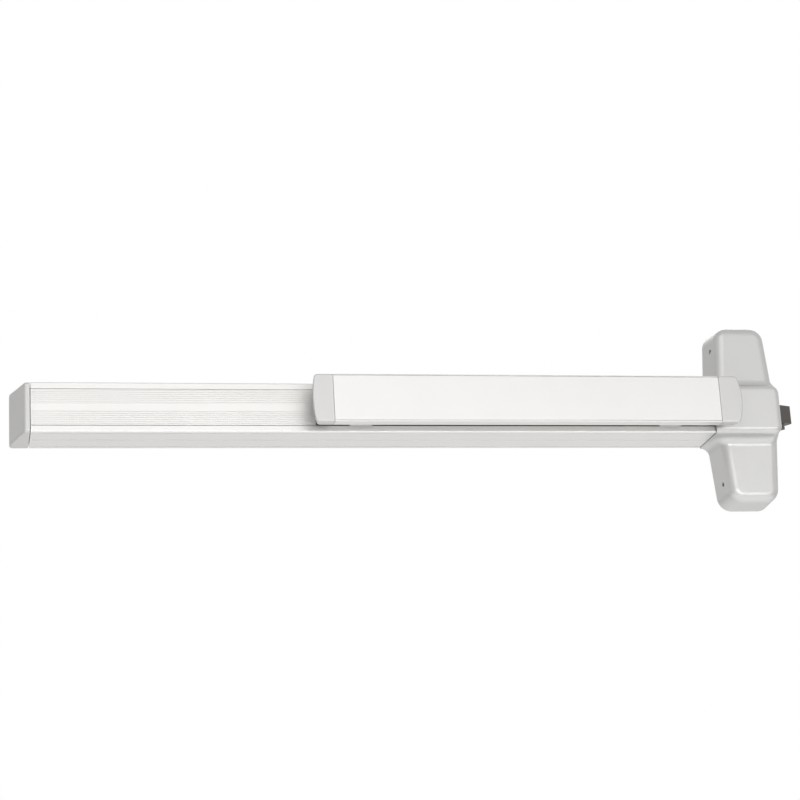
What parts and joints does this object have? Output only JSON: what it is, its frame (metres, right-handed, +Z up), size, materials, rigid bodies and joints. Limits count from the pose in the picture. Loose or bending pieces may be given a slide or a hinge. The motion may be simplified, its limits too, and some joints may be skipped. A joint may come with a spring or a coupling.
{
  "type": "panic exit bar",
  "caption": "Surface-mounted touch-bar exit device with a spring-returned push bar, bell-crank linkage and a swinging rim latch in a tapered case.",
  "frame": {"origin": "centre of the centre case's mounting face, on the face of the door", "axes": "+X along the bar towards the latch edge of the door, +Y into the door, +Z up"},
  "size_m": [0.8629, 0.0952, 0.2048],
  "materials": {
    "rail_aluminium": "satin clear anodised, brushed along its length",
    "case_metal": "satin silver finish on a cast cover",
    "end_cap_metal": "satin silver finish on a die cast cap",
    "zinc_plated_steel": "zinc plated",
    "bright_steel": "bright plated",
    "spring_steel": "oiled wire",
    "latch_steel": "dark plated",
    "black_steel": "black oxide",
    "grey_nylon": "matt",
    "grey_rubber": "matt",
    "bronze": "oiled"
  },
  "bodies": {
    "frame": {"rail_housing": "rail_aluminium", "rail_cover": "rail_aluminium", "end_cap": "end_cap_metal", "end_cap_bracket": "zinc_plated_steel", "end_cap_screw": "bright_steel", "bracket_tongue_screws": "bright_steel", "mechanism_baseplate": "zinc_plated_steel", "baseplate_screws": "bright_steel", "plate_rivets": "bright_steel", "crank_bracket_left": "zinc_plated_steel", "crank_bracket_right": "zinc_plated_steel", "crank_pivot_pins": "bright_steel", "pivot_clips": "bright_steel", "spring_anchor": "zinc_plated_steel", "rod_spring": "spring_steel", "guide_pads": "grey_nylon", "rubber_bumpers": "grey_rubber", "case_cover": "case_metal", "case_cover_screws": "black_steel", "case_chassis": "zinc_plated_steel", "rail_tie_screws": "bright_steel", "latch_pivot_pin": "bright_steel", "latch_pin_clip": "bright_steel"},
    "push_bar": {"push_bar": "rail_aluminium", "push_bar_cap_left": "end_cap_metal", "push_bar_cap_right": "end_cap_metal", "push_bar_channel": "rail_aluminium", "channel_screws": "bright_steel", "bar_cap_screws": "bright_steel"},
    "crank_left": {"bell_crank_left": "zinc_plated_steel", "crank_bushings_left": "bronze", "crank_pins_left": "bright_steel"},
    "crank_right": {"bell_crank_right": "zinc_plated_steel", "crank_bushings_right": "bronze", "crank_pins_right": "bright_steel"},
    "rod": {"actuating_rod": "zinc_plated_steel", "spring_collar": "zinc_plated_steel", "collar_pin": "bright_steel", "rod_coupler": "zinc_plated_steel", "coupler_pin": "bright_steel", "retractor_link": "zinc_plated_steel", "link_screws": "bright_steel"},
    "latch": {"latch_bolt": "latch_steel", "latch_drive_pin": "bright_steel", "latch_spring": "spring_steel"},
    "deadlatch": {"deadlatch_lever": "latch_steel", "deadlatch_spring": "spring_steel"}
  },
  "joints": [
    {"name": "bar_slide", "type": "slide", "parent": "frame", "child": "push_bar", "axis": [0, 1, 0], "range_m": [0, 0.0186], "stiffness_N_per_m": 700, "springref_m": -0.03},
    {"name": "crank_left_hinge", "type": "hinge", "parent": "frame", "child": "crank_left", "pos_m": [-0.42, -0.044, 0], "axis": [0, 0, 1], "range_deg": [0, 50]},
    {"name": "crank_right_hinge", "type": "hinge", "parent": "frame", "child": "crank_right", "pos_m": [-0.15, -0.044, 0], "axis": [0, 0, 1], "range_deg": [0, 50]},
    {"name": "rod_slide", "type": "slide", "parent": "frame", "child": "rod", "axis": [-1, 0, 0], "range_m": [0, 0.01437], "deforming": ["rod_spring"]},
    {"name": "latch_hinge", "type": "hinge", "parent": "frame", "child": "latch", "pos_m": [0.0185, -0.044, 0], "axis": [0, 0, 1], "range_deg": [0, 50]},
    {"name": "deadlatch_hinge", "type": "hinge", "parent": "frame", "child": "deadlatch", "pos_m": [0.0185, -0.044, -0.0123], "axis": [0, 0, 1], "range_deg": [0, 45], "stiffness_Nm_per_rad": 0.02, "springref_deg": -34.38}
  ],
  "couplings": [
    {"joint": "crank_left_hinge", "follows": "bar_slide", "rad_per_m": 46.93},
    {"joint": "crank_right_hinge", "follows": "bar_slide", "rad_per_m": 46.93},
    {"joint": "rod_slide", "follows": "bar_slide", "ratio": 0.77273},
    {"joint": "latch_hinge", "follows": "bar_slide", "rad_per_m": 46.93}
  ]
}
